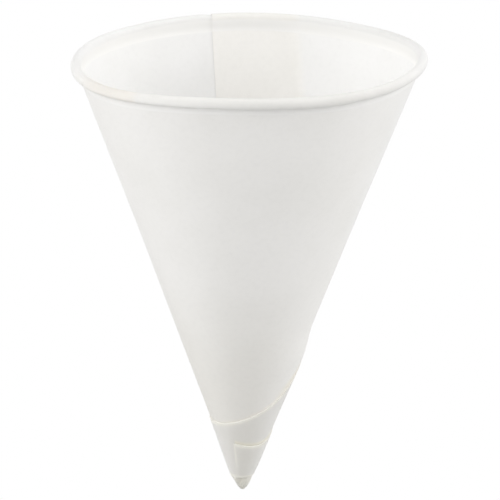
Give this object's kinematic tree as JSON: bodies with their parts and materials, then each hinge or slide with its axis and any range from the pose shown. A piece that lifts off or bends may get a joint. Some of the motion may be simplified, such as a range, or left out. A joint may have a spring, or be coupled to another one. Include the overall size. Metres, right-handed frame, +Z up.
{
  "type": "cone paper cup",
  "caption": "Cone paper cup wound from one sheet of thin paper, with a rolled rim, overlapping outer turns and a pinched, twisted tip, standing mouth down.",
  "frame": {"origin": "centre of the rim, on the surface the cup stands on mouth down", "axes": "+Z up along the cone from the mouth to the tip, +Y towards the side where the sheet lies double, +X to its right as seen from the -Y side"},
  "size_m": [0.073, 0.073, 0.0939],
  "materials": {
    "cup_paper": "matte white paper, smooth and slightly translucent"
  },
  "bodies": {
    "root": {"paper_cup": "cup_paper"}
  },
  "joints": []
}
